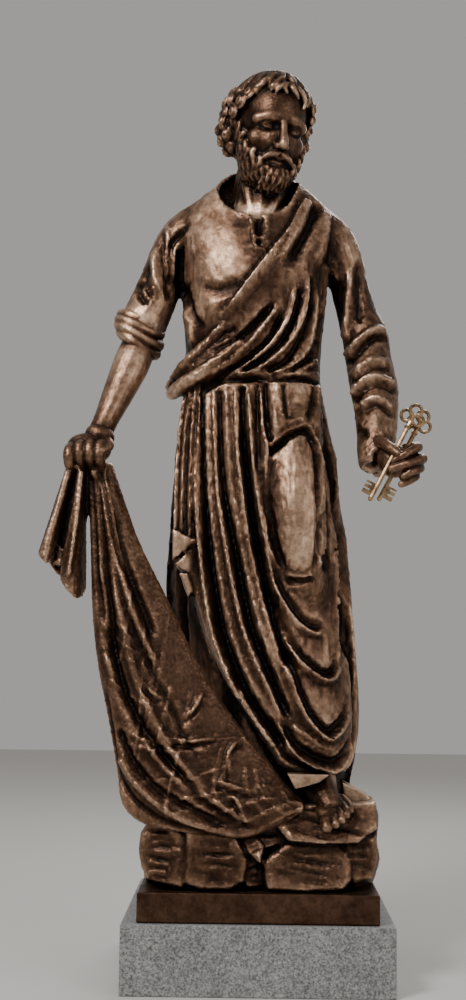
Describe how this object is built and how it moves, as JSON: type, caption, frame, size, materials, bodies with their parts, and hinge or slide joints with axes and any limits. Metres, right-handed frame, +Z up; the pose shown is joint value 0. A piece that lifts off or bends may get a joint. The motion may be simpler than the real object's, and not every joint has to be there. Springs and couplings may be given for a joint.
{
  "type": "saint statue",
  "caption": "Life-size bearded saint in a long robe and mantle, a gathered fishing net in one hand and keys in the other, on rocks, a slab and a low stone base.",
  "frame": {"origin": "centre of the granite base's underside", "axes": "+Z up, +X towards the viewer's right when facing the figure, +Y away from the viewer; the figure looks towards -Y"},
  "size_m": [0.8545, 0.56, 2.0625],
  "materials": {
    "bronze": "cast bronze with a brown patina, worn golden on the raised folds and nearly black in the hollows",
    "gilt_bronze": "bright golden bronze, little patina",
    "granite": "sawn grey speckled granite"
  },
  "bodies": {
    "root": {"saint_figure": "bronze", "key_left": "gilt_bronze", "key_right": "gilt_bronze", "granite_base": "granite"}
  },
  "joints": []
}
